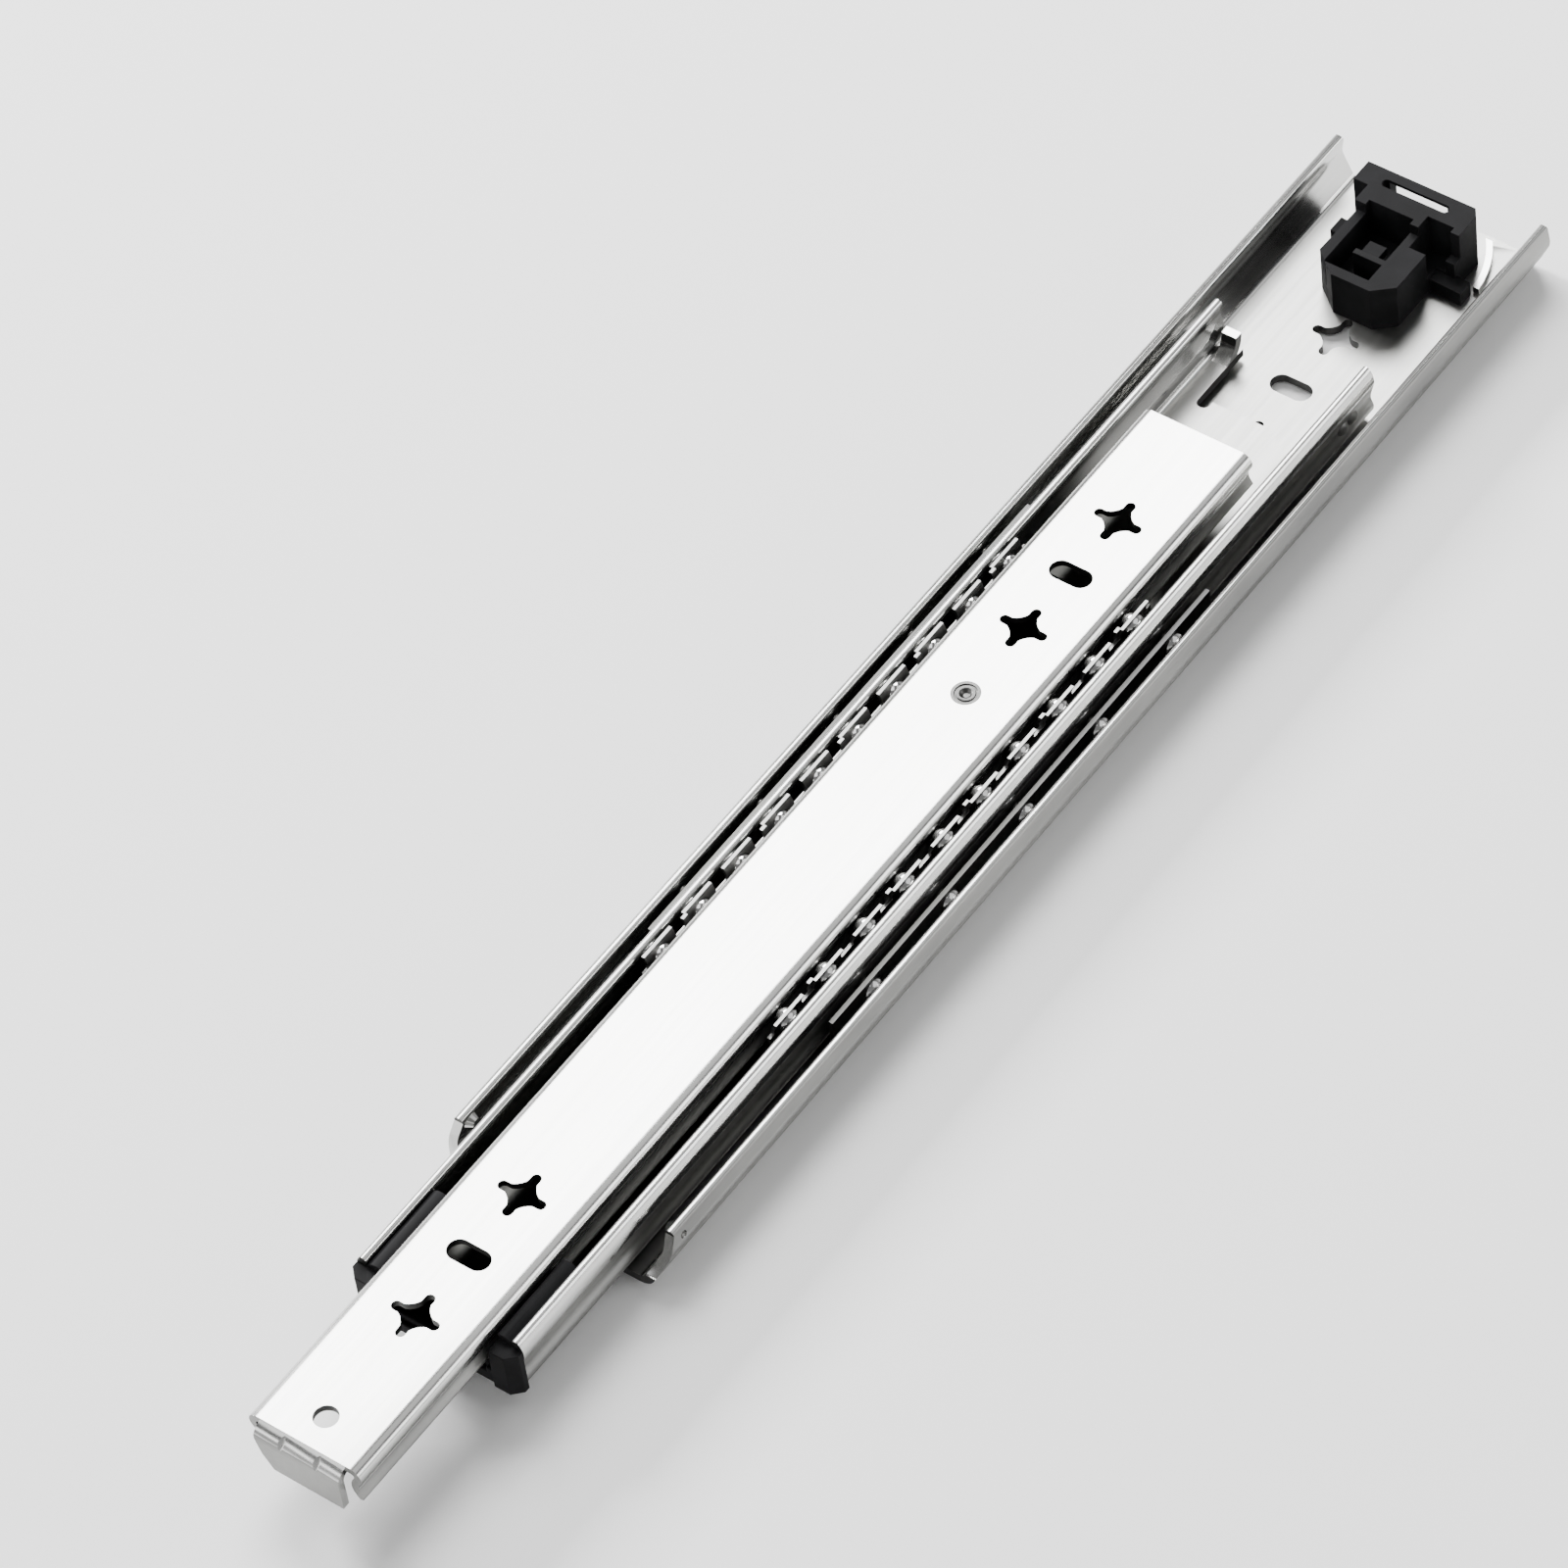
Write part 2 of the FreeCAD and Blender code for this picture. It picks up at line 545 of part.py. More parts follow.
# --- stop under the drawer member ----------------------------------------------------------
STOP_TOP = TOTAL_HEIGHT - DRAWER_SHEET
STOP_SHEET = 1.5
STOP_HALF_WIDTH = 8.0
STOP_HALF_LENGTH = 9.0
LUG_DROP = 6.5
FORMED_DEPTH = 0.9
FORMED_RADIUS = 3.8
DIMPLE_RADIUS = 1.3
DIMPLE_DEPTH = 0.7
RING_RADIUS = 1.95
RING_WIDTH = 0.35
RING_DEPTH = 0.25


def stop_rivet():
    """Flush rivet: head in the face, shank through the stop plate, formed end below it."""
    shank = RIVET_DIAMETER / 2
    low = STOP_TOP - STOP_SHEET
    body = upright(0, RIVET_Y, low, TOTAL_HEIGHT, shank)
    formed = upright(0, RIVET_Y, low - FORMED_DEPTH, low, FORMED_RADIUS)
    dimple_bottom = V(0, RIVET_Y, TOTAL_HEIGHT - DIMPLE_DEPTH)
    dimple = Part.makeCone(DIMPLE_RADIUS - DIMPLE_DEPTH, DIMPLE_RADIUS, DIMPLE_DEPTH, dimple_bottom)
    ring_low = TOTAL_HEIGHT - RING_DEPTH
    ring = upright(0, RIVET_Y, ring_low, TOTAL_HEIGHT + 1, RING_RADIUS + RING_WIDTH)
    ring = ring.cut(upright(0, RIVET_Y, ring_low - 1, TOTAL_HEIGHT + 2, RING_RADIUS))
    return joined([body, formed]).cut([dimple, ring])


def stop_plate():
    """Bent plate under the face that the rivet holds."""
    half = STOP_HALF_WIDTH
    front = RIVET_Y - STOP_HALF_LENGTH
    rear = RIVET_Y + STOP_HALF_LENGTH
    top = box(-half, half, front, rear, STOP_TOP - STOP_SHEET, STOP_TOP)
    lug = box(-half, half, rear - STOP_SHEET, rear, STOP_TOP - LUG_DROP, STOP_TOP)
    return joined([top, lug]).cut(upright(0, RIVET_Y, 0, TOTAL_HEIGHT, RIVET_DIAMETER / 2))


# --- ball cages and balls ------------------------------------------------------------------
def ball_places(front, count, pitch):
    """Where the balls of a row sit along Y, in the middle of their cage."""
    first = front + (CAGE_LENGTH - (count - 1) * pitch) / 2
    return [first + number * pitch for number in range(count)]


def ball_holes(x, z, places):
    """Round windows along X, a little larger than the balls."""
    radius = BALL_RADIUS + WINDOW_PLAY
    start = x - BALL_RADIUS
    return [Part.makeCylinder(radius, 2 * BALL_RADIUS, V(start, y, z), V(1, 0, 0)) for y in places]


WINDOW_PLAY = 0.1
LAND_LENGTH = 8.8
LAND_LEAN = 0.8
LAND_THICK = 0.75
LAND_BOTTOM = 14.0
LAND_KNEE = 15.2
LAND_TOP = 17.1
JOG_LENGTH = 1.5
JOG_SHIFT = 0.7
JOG_OVERLAP = 0.3
WEB_TOP = 9.1
WEB_SHEET = 0.7
STRIP_TOP = 14.3
WEB_WINDOW_HALF = 9.0
WEB_WINDOW_LENGTH = 10.6
OUTER_CAGE_BOTTOM = 4.9
OUTER_CAGE_TOP = 12.1


def land(near, side, front, length):
    """One leaning lip of the inner cage, beside a ball."""
    lean = near + side * LAND_LEAN
    outline = [(near, LAND_BOTTOM), (near, LAND_KNEE), (lean, LAND_TOP),
               (lean + side * LAND_THICK, LAND_TOP), (lean, LAND_KNEE), (lean, LAND_BOTTOM)]
    points = [V(x, front, z) for x, z in outline]
    return Part.Face(Part.makePolygon(points + points[:1])).extrude(V(0, length, 0))


def inner_cage():
    """Channel under the drawer member with two ball strips and a land over each ball."""
    rear = INNER_CAGE_FRONT + CAGE_LENGTH
    places = ball_places(INNER_CAGE_FRONT, INNER_BALL_COUNT, INNER_BALL_PITCH)
    half = INNER_CAGE_SHEET / 2
    web_bottom = WEB_TOP - WEB_SHEET
    pieces = [box(-INNER_ROW_X, INNER_ROW_X, INNER_CAGE_FRONT, rear, web_bottom, WEB_TOP)]
    cuts = []
    for side in (-1, 1):
        x = side * INNER_ROW_X
        pieces.append(box(x - half, x + half, INNER_CAGE_FRONT, rear, web_bottom, STRIP_TOP))
        for number, y in enumerate(places):
            front = y - LAND_LENGTH / 2
            near = x - side * half
            pieces.append(land(near, side, front, LAND_LENGTH))
            if number % 2:
                jog_front = front - JOG_LENGTH + JOG_OVERLAP
                pieces.append(land(near - side * JOG_SHIFT, side, jog_front, JOG_LENGTH))
        cuts += ball_holes(x, INNER_ROW_Z, places)
    for y in places[::2]:
        window_rear = y - 1 + WEB_WINDOW_LENGTH
        cuts.append(box(-WEB_WINDOW_HALF, WEB_WINDOW_HALF, y - 1, window_rear, web_bottom - 1, WEB_TOP + 1))
    return joined(pieces).cut(cuts)


def outer_cage(side):
    """Flat strip on edge between the cabinet and intermediate walls."""
    rear = OUTER_CAGE_FRONT + CAGE_LENGTH
    places = ball_places(OUTER_CAGE_FRONT, OUTER_BALL_COUNT, OUTER_BALL_PITCH)
    x = side * OUTER_ROW_X
    half = OUTER_CAGE_SHEET / 2
    strip = box(x - half, x + half, OUTER_CAGE_FRONT, rear, OUTER_CAGE_BOTTOM, OUTER_CAGE_TOP)
    return strip.cut(ball_holes(x, OUTER_ROW_Z, places))


def save_balls(name, x, z, places):
    """One piece for each ball of a row, numbered from the front."""
    for number, y in enumerate(places, 1):
        save(name + "_" + str(number), Part.makeSphere(BALL_RADIUS, V(x, y, z)))


# --- build ---------------------------------------------------------------------------------
save("cabinet_member", cabinet_member())
save("rear_bumper", rear_bumper())
save("intermediate_member", intermediate_member())
save("drawer_member", drawer_member())
save("stop_rivet", stop_rivet())
save("stop_plate", stop_plate())
save("front_bridge", front_bridge())
save("inner_cage", inner_cage())

for side_name, side in (("left", -1), ("right", 1)):
    save("front_cap_" + side_name, front_cap(side))
    save("outer_cage_" + side_name, outer_cage(side))
    save_balls("outer_ball_" + side_name, side * OUTER_ROW_X, OUTER_ROW_Z,
               ball_places(OUTER_CAGE_FRONT, OUTER_BALL_COUNT, OUTER_BALL_PITCH))
    save_balls("inner_ball_" + side_name, side * INNER_ROW_X, INNER_ROW_Z,
               ball_places(INNER_CAGE_FRONT, INNER_BALL_COUNT, INNER_BALL_PITCH))
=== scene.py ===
import json
import math

import bmesh
import bpy
from mathutils import Matrix, Vector


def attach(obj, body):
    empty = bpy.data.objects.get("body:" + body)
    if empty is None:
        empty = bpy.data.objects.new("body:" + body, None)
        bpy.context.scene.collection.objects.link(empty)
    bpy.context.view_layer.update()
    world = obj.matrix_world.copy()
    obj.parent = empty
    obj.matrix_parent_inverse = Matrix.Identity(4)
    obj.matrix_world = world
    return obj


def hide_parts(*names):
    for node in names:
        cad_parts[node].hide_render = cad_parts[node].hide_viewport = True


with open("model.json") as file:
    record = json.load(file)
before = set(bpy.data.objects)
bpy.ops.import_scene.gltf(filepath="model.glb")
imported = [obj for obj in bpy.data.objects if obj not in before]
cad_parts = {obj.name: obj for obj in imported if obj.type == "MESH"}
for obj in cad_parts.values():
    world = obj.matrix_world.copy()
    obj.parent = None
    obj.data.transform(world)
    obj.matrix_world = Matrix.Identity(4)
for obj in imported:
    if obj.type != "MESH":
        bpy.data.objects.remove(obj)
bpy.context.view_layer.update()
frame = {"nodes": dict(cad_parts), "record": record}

NODES = frame["nodes"]
MM = 0.001

# --- camera --------------------------------------------------------------------------------
CAMERA_PLACE = Vector((0.64716, -0.77123, 1.17931))
CAMERA_AZIMUTH = math.radians(-42.69)
CAMERA_DIP = math.radians(49.85)
CAMERA_ROLL = math.radians(-8.58)
LENS_MM = 183.7
SENSOR_MM = 36.0
CLIP_NEAR = 0.05
CLIP_FAR = 20.0


def make_camera():
    """Long-lens camera above the front right corner, at the photograph's viewing angle."""
    forward = Vector((math.cos(CAMERA_DIP) * math.sin(CAMERA_AZIMUTH),
                      math.cos(CAMERA_DIP) * math.cos(CAMERA_AZIMUTH),
                      -math.sin(CAMERA_DIP)))
    level = forward.cross(Vector((0, 0, 1))).normalized()
    above = level.cross(forward)
    right = level * math.cos(CAMERA_ROLL) + above * math.sin(CAMERA_ROLL)
    up = right.cross(forward)
    data = bpy.data.cameras.new("camera")
    data.lens = LENS_MM
    data.sensor_width = SENSOR_MM
    data.clip_start = CLIP_NEAR
    data.clip_end = CLIP_FAR
    camera = bpy.data.objects.new("camera", data)
    turn = Matrix((right, up, -forward)).transposed().to_4x4()
    camera.matrix_world = Matrix.Translation(CAMERA_PLACE) @ turn
    bpy.context.scene.collection.objects.link(camera)
    bpy.context.scene.camera = camera


# --- shader helpers ------------------------------------------------------------------------
def new_material(name):
    """An empty material with its node tree and its main shader."""
    material = bpy.data.materials.new(name)
    material.use_nodes = True
    shader = material.node_tree.nodes["Principled BSDF"]
    return material, material.node_tree, shader


def noise(tree, scale, detail, stretch=(1.0, 1.0, 1.0), rough=0.5):
    """Noise in object space, stretched per axis. Returns its value output."""
    place = tree.nodes.new("ShaderNodeTexCoord")
    mapping = tree.nodes.new("ShaderNodeMapping")
    mapping.inputs["Scale"].default_value = stretch
    texture = tree.nodes.new("ShaderNodeTexNoise")
    texture.inputs["Scale"].default_value = scale
    texture.inputs["Detail"].default_value = detail
    texture.inputs["Roughness"].default_value = rough
    tree.links.new(place.outputs["Object"], mapping.inputs["Vector"])
    tree.links.new(mapping.outputs["Vector"], texture.inputs["Vector"])
    return texture.outputs["Fac"]


def spread(tree, value, low, high, start=0.3, end=0.7):
    """Map the values from start to end onto low to high."""
    node = tree.nodes.new("ShaderNodeMapRange")
    node.inputs["From Min"].default_value = start
    node.inputs["From Max"].default_value = end
    node.inputs["To Min"].default_value = low
    node.inputs["To Max"].default_value = high
    tree.links.new(value, node.inputs["Value"])
    return node.outputs["Result"]


def two_colours(tree, value, low, high, start=0.35, end=0.65):
    """Blend from one colour to another as the value rises from start to end."""
    ramp = tree.nodes.new("ShaderNodeValToRGB")
    ramp.color_ramp.elements[0].position = start
    ramp.color_ramp.elements[0].color = (*low, 1)
    ramp.color_ramp.elements[1].position = end
    ramp.color_ramp.elements[1].color = (*high, 1)
    tree.links.new(value, ramp.inputs["Fac"])
    return ramp.outputs["Color"]


def bump(tree, value, strength, distance, before=None):
    """Small relief from a value, on top of an earlier relief if there is one."""
    node = tree.nodes.new("ShaderNodeBump")
    node.inputs["Strength"].default_value = strength
    node.inputs["Distance"].default_value = distance
    tree.links.new(value, node.inputs["Height"])
    if before is not None:
        tree.links.new(before, node.inputs["Normal"])
    return node.outputs["Normal"]


# --- materials -----------------------------------------------------------------------------
# each texture: scale, detail, and where needed its stretch along X, Y and Z and its roughness
STEEL_CLOUDS = (60.0, 5.0, (1.0, 0.35, 1.0))
STEEL_LINES = (900.0, 3.0, (1.0, 0.012, 1.0), 0.6)
STEEL_PITS = (2600.0, 2.0)
BALL_SMEAR = (900.0, 3.0)
PLASTIC_GRAIN = (2200.0, 4.0)
PLASTIC_CLOUDS = (120.0, 4.0)

# each relief: its strength and its height in metres
LINE_RELIEF = (0.08, 0.00002)
PIT_RELIEF = (0.02, 0.00001)
GRAIN_RELIEF = (0.25, 0.00006)

LINE_ROUGHNESS = 0.06
PLASTIC_GLOSS = 0.08
# painted shade: the tint and the blur that darken the middle member's floor under the drawer
# member
UNDER_DRAWER_SHADE_TINT = (0.16, 0.16, 0.155)
UNDER_DRAWER_SHADE_BLUR = 0.012
DRAWER_REAR_Y = 0.0634


def shade_painted_up_to(tree, colour, edge_y):
    """Darken a colour in front of edge_y: painted shade on the floor under the drawer member."""
    place = tree.nodes.new("ShaderNodeTexCoord")
    split = tree.nodes.new("ShaderNodeSeparateXYZ")
    tree.links.new(place.outputs["Object"], split.inputs["Vector"])
    mix = tree.nodes.new("ShaderNodeMix")
    mix.data_type = "RGBA"
    mix.blend_type = "MULTIPLY"
    mix.inputs["B"].default_value = (*UNDER_DRAWER_SHADE_TINT, 1)
    tree.links.new(colour, mix.inputs["A"])
    tree.links.new(spread(tree, split.outputs["Y"], 1.0, 0.0, edge_y - UNDER_DRAWER_SHADE_BLUR, edge_y),
                   mix.inputs["Factor"])
    return mix.outputs["Result"]


def steel(name, dull, bright, smooth, rough, painted_shade_edge=None):
    """Plated sheet: lines drawn along the slide, cloudy plating and fine pits, and painted shade
    in front of an edge when one is given.
    """
    material, tree, shader = new_material(name)
    shader.inputs["Metallic"].default_value = 1.0
    clouds = noise(tree, *STEEL_CLOUDS)
    lines = noise(tree, *STEEL_LINES)
    pits = noise(tree, *STEEL_PITS)
    colour = two_colours(tree, clouds, dull, bright)
    # where an edge is given, the colour in front of it is darkened as painted shade
    if painted_shade_edge is not None:
        colour = shade_painted_up_to(tree, colour, painted_shade_edge)
    tree.links.new(colour, shader.inputs["Base Color"])
    mix = tree.nodes.new("ShaderNodeMath")
    mix.operation = "ADD"
    tree.links.new(spread(tree, clouds, smooth, rough), mix.inputs[0])
    tree.links.new(spread(tree, lines, 0.0, LINE_ROUGHNESS), mix.inputs[1])
    tree.links.new(mix.outputs["Value"], shader.inputs["Roughness"])
    first = bump(tree, lines, *LINE_RELIEF)
    tree.links.new(bump(tree, pits, *PIT_RELIEF, first), shader.inputs["Normal"])
    return material


def polished(name):
    """Hard bright steel with a faint smear of grease."""
    material, tree, shader = new_material(name)
    shader.inputs["Metallic"].default_value = 1.0
    smear = noise(tree, *BALL_SMEAR)
    tree.links.new(two_colours(tree, smear, (0.70, 0.70, 0.69), (0.82, 0.82, 0.82)),
                   shader.inputs["Base Color"])
    tree.links.new(spread(tree, smear, 0.05, 0.14), shader.inputs["Roughness"])
    return material


def plastic(name):
    """Moulded black plastic with a fine texture and slightly greyed high spots."""
    material, tree, shader = new_material(name)
    shader.inputs["Specular IOR Level"].default_value = PLASTIC_GLOSS
    grain = noise(tree, *PLASTIC_GRAIN)
    clouds = noise(tree, *PLASTIC_CLOUDS)
    tree.links.new(two_colours(tree, clouds, (0.006, 0.006, 0.0065), (0.013, 0.013, 0.014)),
                   shader.inputs["Base Color"])
    tree.links.new(spread(tree, clouds, 0.58, 0.74), shader.inputs["Roughness"])
    tree.links.new(bump(tree, grain, *GRAIN_RELIEF), shader.inputs["Normal"])
    return material


# floor faces: a rougher satin finish, and a darker copy of the steel as painted shade at the
# bottom of the channels
SATIN_SHADE_LOOK = ((0.27, 0.27, 0.262), (0.36, 0.36, 0.352), 0.27, 0.40)

ZINC = steel("zinc_steel", (0.50, 0.50, 0.488), (0.57, 0.57, 0.56), 0.14, 0.22)
# outward sides: a rougher matt finish, and a darker copy of the steel as painted shade
MATT_OUTSIDE_WITH_SHADE = steel("matt_outside_painted_shade", (0.20, 0.20, 0.195), (0.30, 0.30, 0.29), 0.36, 0.48)
SATIN_WITH_SHADE = steel("satin_floor_painted_shade", *SATIN_SHADE_LOOK)
# satin floor copy, darkened under the drawer member as painted shade
SATIN_WITH_UNDER_DRAWER_SHADE = steel("floor_with_painted_under_drawer_shade", *SATIN_SHADE_LOOK, painted_shade_edge=DRAWER_REAR_Y)
# inner faces: a near-black copy of the steel, painted shade under the drawer face and on the
# inner walls
INSIDE_PAINTED_SHADE = steel("painted_shade_inside", (0.035, 0.035, 0.034), (0.07, 0.07, 0.068), 0.40, 0.55)
# ends and hole walls: sheared steel, painted near black as shade
CUT_EDGE_AND_SHADE = steel("cut_edge_and_painted_shade", (0.05, 0.05, 0.048), (0.085, 0.085, 0.082), 0.38, 0.50)
RIVET = steel("rivet_steel", (0.10, 0.10, 0.098), (0.17, 0.17, 0.165), 0.36, 0.50)
CAGE = steel("cage_steel", (0.15, 0.15, 0.147), (0.23, 0.23, 0.225), 0.22, 0.34)
DARK_CAGE = steel("dark_cage", (0.05, 0.05, 0.05), (0.11, 0.11, 0.105), 0.32, 0.45)
BALL = polished("ball_steel")
PLASTIC = plastic("black_plastic")
SLOT_FINISH = {"zinc_steel": ZINC, "rivet_steel": RIVET, "cage_steel": CAGE,
               "dark_cage": DARK_CAGE, "ball_steel": BALL, "black_plastic": PLASTIC}
# face finishes: plain sheet, then copies painted darker as shade for ends and holes, inner faces,
# outer sides, floors and the floor under the drawer member
SHEET_FACE, CUT_AND_SHADED_FACE, INSIDE_SHADE_FACE, MATT_SHADED_OUTSIDE_FACE, SHADED_FLOOR_FACE, UNDER_DRAWER_SHADED_FLOOR_FACE = range(6)
FACE_FINISHES = (CUT_EDGE_AND_SHADE, INSIDE_PAINTED_SHADE, MATT_OUTSIDE_WITH_SHADE, SATIN_WITH_SHADE, SATIN_WITH_UNDER_DRAWER_SHADE)


def slot_of(node):
    """The record's material slot of a CAD node."""
    for row in frame["record"]["subparts"]:
        if row["node"] == node:
            return row["material_slot"]
    return "zinc_steel"


def body_of(node):
    """The body that a CAD node moves with."""
    for body, members in frame["record"]["behaviour"]["bodies"].items():
        if node in members:
            return body
    return None


def paint_cad():
    """Give every CAD node the material of its slot."""
    for name, node in NODES.items():
        node.data.materials.clear()
        node.data.materials.append(SLOT_FINISH[slot_of(name)])


# --- which finish and painted shade each face of a sheet member has, by its middle in mm and its normal ---
# how far a normal points along an axis, from 0 to 1
FACING = 0.9
MOSTLY_FACING = 0.6
PARTLY_FACING = 0.3
NOT_LEVEL = 0.95
HOLE_HALF_X = 8
CABINET_FLOOR_Z = 2.1
CABINET_HOLE_Z = (0.1, 1.9)
CABINET_WALL_X = 22
MIDDLE_FLOOR_Z = 5.2
MIDDLE_OPENING_Z = (3.3, 5.0)
MIDDLE_WALL_X = 15
MIDDLE_TRACK_Z = 11
DRAWER_FOLD_Y = -219
DRAWER_FOOT_Z = 13.5
DRAWER_FOOT_X = 9.9
DRAWER_FACE_HALF_X = 12
DRAWER_FACE_Z = 16
DRAWER_WALL_X = 9
DRAWER_WALL_Z = 18
DRAWER_HOLE_Z = (17.5, 18.9)


def cabinet_finish(place, normal):
    """Ends and holes are sheared and painted near black as shade, the floor is satin and painted
    darker as shade, and the outside of the walls is matt and painted darker as shade.
    """
    low, high = CABINET_HOLE_Z
    # sheared ends and hole walls: painted near black as shade
    hole_wall = low < place.z < high and abs(place.x) < HOLE_HALF_X
    if hole_wall or abs(normal.y) > FACING:
        return CUT_AND_SHADED_FACE
    # channel floor: satin, painted darker as shade
    if normal.z > FACING and place.z < CABINET_FLOOR_Z:
        return SHADED_FLOOR_FACE
    # outside of the walls: matt, painted darker as shade
    facing_out = place.x * normal.x > 0 and abs(normal.x) > MOSTLY_FACING
    return MATT_SHADED_OUTSIDE_FACE if facing_out and abs(place.x) > CABINET_WALL_X else SHEET_FACE


def middle_finish(place, normal):
    """Like the cabinet member, and the floor gets painted shade where the drawer member runs over
    it.
    """
    low, high = MIDDLE_OPENING_Z
    upright = abs(normal.z) < PARTLY_FACING
    opening_wall = upright and low < place.z < high and abs(place.x) < MIDDLE_WALL_X
    if opening_wall or abs(normal.y) > FACING:
        return CUT_AND_SHADED_FACE
    # floor faces get the copy with painted shade under the drawer member
    if normal.z > FACING and place.z < MIDDLE_FLOOR_Z:
        return UNDER_DRAWER_SHADED_FLOOR_FACE
    # outside of the lower walls: matt, painted darker as shade
    facing_out = place.x * normal.x > 0 and abs(normal.x) > PARTLY_FACING
    lower_wall = place.z < MIDDLE_TRACK_Z and abs(place.x) > MIDDLE_WALL_X
    return MATT_SHADED_OUTSIDE_FACE if facing_out and lower_wall else SHEET_FACE


def drawer_finish(place, normal):
    """The underside of the face and the inner walls get painted shade; the tab front and the
    lower outer walls are matt and painted darker as shade.
    """
    # front of the tab and outside of the lower walls: matt, painted darker as shade
    if place.y < DRAWER_FOLD_Y and normal.y < -FACING:
        return MATT_SHADED_OUTSIDE_FACE
    if place.x * normal.x > 0 and place.z < DRAWER_FOOT_Z and abs(place.x) > DRAWER_FOOT_X:
        return MATT_SHADED_OUTSIDE_FACE
    if place.y < DRAWER_FOLD_Y:
        return SHEET_FACE
    # underside of the face and inner walls: painted shade
    if normal.z < -FACING and abs(place.x) < DRAWER_FACE_HALF_X and place.z > DRAWER_FACE_Z:
        return INSIDE_SHADE_FACE
    facing_in = place.x * normal.x < 0 and abs(normal.z) < NOT_LEVEL
    if facing_in and abs(place.x) > DRAWER_WALL_X and place.z < DRAWER_WALL_Z:
        return INSIDE_SHADE_FACE
    low, high = DRAWER_HOLE_Z
    upright = abs(normal.z) < PARTLY_FACING
    hole_wall = upright and low < place.z < high and abs(place.x) < HOLE_HALF_X
    return CUT_AND_SHADED_FACE if hole_wall or abs(normal.y) > FACING else SHEET_FACE


# --- finished pieces -----------------------------------------------------------------------
WELD = 0.000002
FLAT_ANGLE = math.radians(0.3)
CREASE_ANGLE = math.radians(32)
CABINET_ROUNDING = 0.0003
MIDDLE_ROUNDING = 0.00025
DRAWER_ROUNDING = 0.0002
PLASTIC_ROUNDING = 0.0004
THIN_ROUNDING = 0.0001


def dressed(node, width, segments=2, pick=None):
    """A copy of a CAD node's mesh with its sharp edges rounded. It stands for the node."""
    shell = bmesh.new()
    shell.from_mesh(NODES[node].data)
    bmesh.ops.remove_doubles(shell, verts=shell.verts, dist=WELD)
    bmesh.ops.dissolve_limit(shell, angle_limit=FLAT_ANGLE, use_dissolve_boundaries=False,
                             verts=shell.verts, edges=shell.edges, delimit={"NORMAL"})
    mesh = bpy.data.meshes.new(node + "_finished")
    shell.to_mesh(mesh)
    shell.free()
    mesh.materials.append(SLOT_FINISH[slot_of(node)])
    if pick is not None:
        for finish in FACE_FINISHES:
            mesh.materials.append(finish)
        for face in mesh.polygons:
            face.material_index = pick(face.center / MM, face.normal)
    piece = bpy.data.objects.new(node + "_finished", mesh)
    bpy.context.scene.collection.objects.link(piece)
    rounding = piece.modifiers.new("rounded_edges", "BEVEL")
    rounding.width = width
    rounding.segments = segments
    rounding.limit_method = "ANGLE"
    rounding.angle_limit = CREASE_ANGLE
    rounding.harden_normals = True
    rounding.use_clamp_overlap = True
    for face in mesh.polygons:
        face.use_smooth = True
    mesh.set_sharp_from_angle(angle=CREASE_ANGLE)
    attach(piece, body_of(node))
    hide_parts(node)


def dress_members():
    """Finish every piece except the balls, which keep their CAD mesh."""
    dressed("cabinet_member", CABINET_ROUNDING, pick=cabinet_finish)
    dressed("intermediate_member", MIDDLE_ROUNDING, pick=middle_finish)
    dressed("drawer_member", DRAWER_ROUNDING, pick=drawer_finish)
    for node in ("rear_bumper", "front_cap_left", "front_cap_right", "front_bridge"):
        dressed(node, PLASTIC_ROUNDING, segments=3)
    for node in ("inner_cage", "outer_cage_left", "outer_cage_right", "stop_plate", "stop_rivet"):
        dressed(node, THIN_ROUNDING)


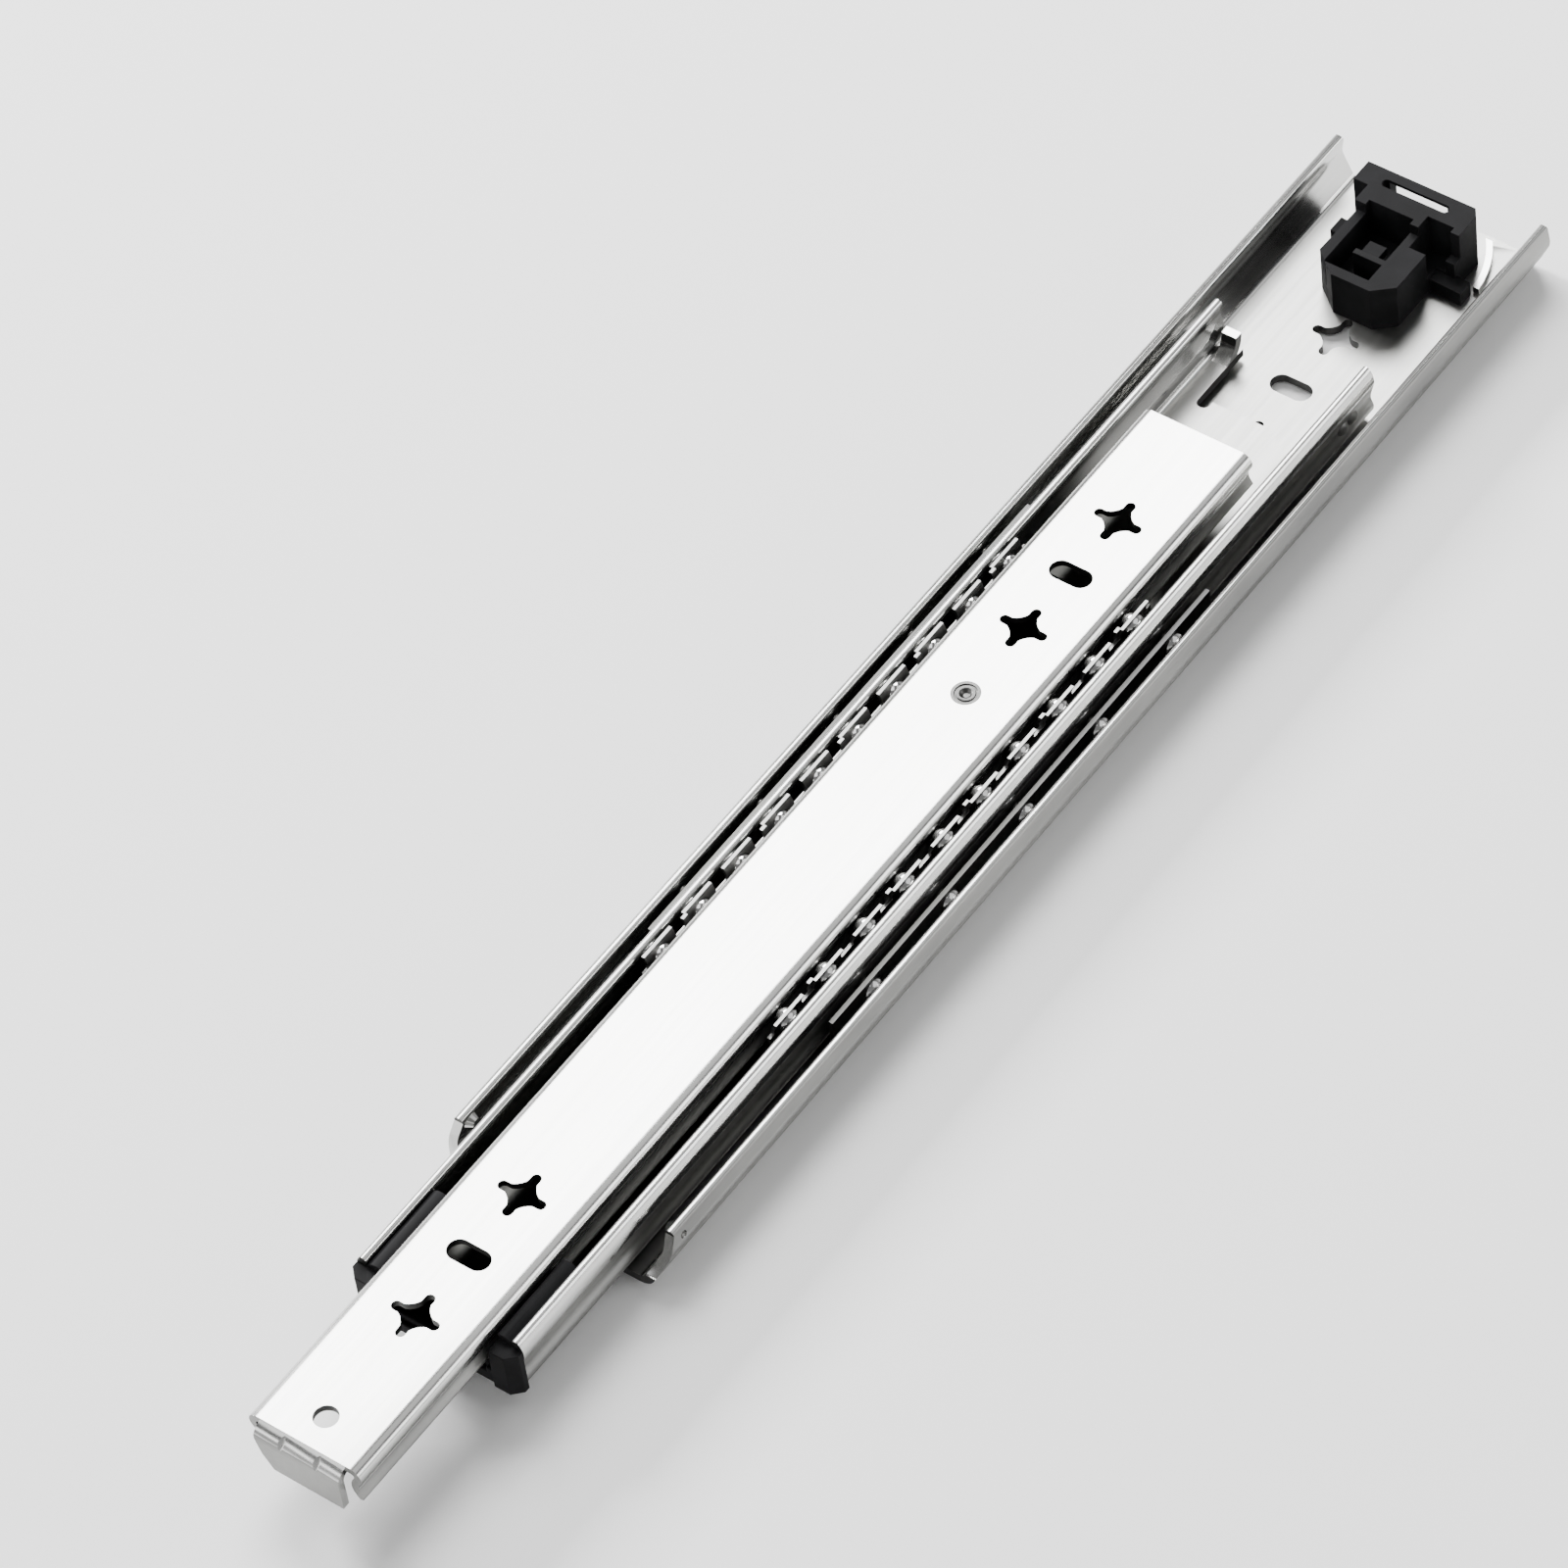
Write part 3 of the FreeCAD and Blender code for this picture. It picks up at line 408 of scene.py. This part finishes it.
# --- stage ---------------------------------------------------------------------------------
HORIZON_LIGHT = 0.85
ZENITH_LIGHT = 0.22
FADE_END = 0.6
FLOOR_SIZE = 8.0
FLOOR_GAP = 0.0006
FLOOR_SHADE = (0.93, 0.93, 0.93, 1)
FLOOR_ROUGHNESS = 0.9

# name, place, width, height, power; each one faces the part
AREA_LIGHTS = [
    ("far_softbox", (-0.95, 1.03, 1.65), 1.3, 1.0, 75),
    ("left_key", (-2.2, 0.2, 1.1), 0.5, 0.5, 130),
    ("over_softbox", (0.9, 0.7, 2.0), 2.0, 1.4, 8),
    ("right_softbox", (1.64, 0.96, 0.56), 1.0, 0.7, 12),
    ("front_fill", (-0.8, -1.5, 0.9), 1.0, 0.5, 5),
    ("upper_front_fill", (-0.6, -0.4, 2.0), 1.2, 0.9, 7),
]


def area_light(name, place, width, height, power):
    """Rectangular soft light that faces the origin."""
    data = bpy.data.lights.new(name, "AREA")
    data.shape = "RECTANGLE"
    data.size = width
    data.size_y = height
    data.energy = power
    light = bpy.data.objects.new(name, data)
    light.location = place
    light.rotation_euler = (-Vector(place)).to_track_quat("-Z", "Y").to_euler()
    bpy.context.scene.collection.objects.link(light)


def make_floor():
    """Plain pale floor, just under the part."""
    bpy.ops.mesh.primitive_plane_add(size=FLOOR_SIZE, location=(0, 0, -FLOOR_GAP))
    floor = bpy.context.object
    floor.name = "floor"
    material, tree, shader = new_material("floor")
    shader.inputs["Base Color"].default_value = FLOOR_SHADE
    shader.inputs["Roughness"].default_value = FLOOR_ROUGHNESS
    floor.data.materials.append(material)


def make_surround():
    """White surround, bright at the horizon and dim overhead."""
    world = bpy.data.worlds.new("studio")
    world.use_nodes = True
    tree = world.node_tree
    background = tree.nodes["Background"]
    background.inputs["Color"].default_value = (1, 1, 1, 1)
    place = tree.nodes.new("ShaderNodeTexCoord")
    split = tree.nodes.new("ShaderNodeSeparateXYZ")
    tree.links.new(place.outputs["Generated"], split.inputs["Vector"])
    fade = spread(tree, split.outputs["Z"], HORIZON_LIGHT, ZENITH_LIGHT, 0.0, FADE_END)
    tree.links.new(fade, background.inputs["Strength"])
    bpy.context.scene.world = world


make_camera()
paint_cad()
dress_members()
make_floor()
make_surround()
for row in AREA_LIGHTS:
    area_light(*row)
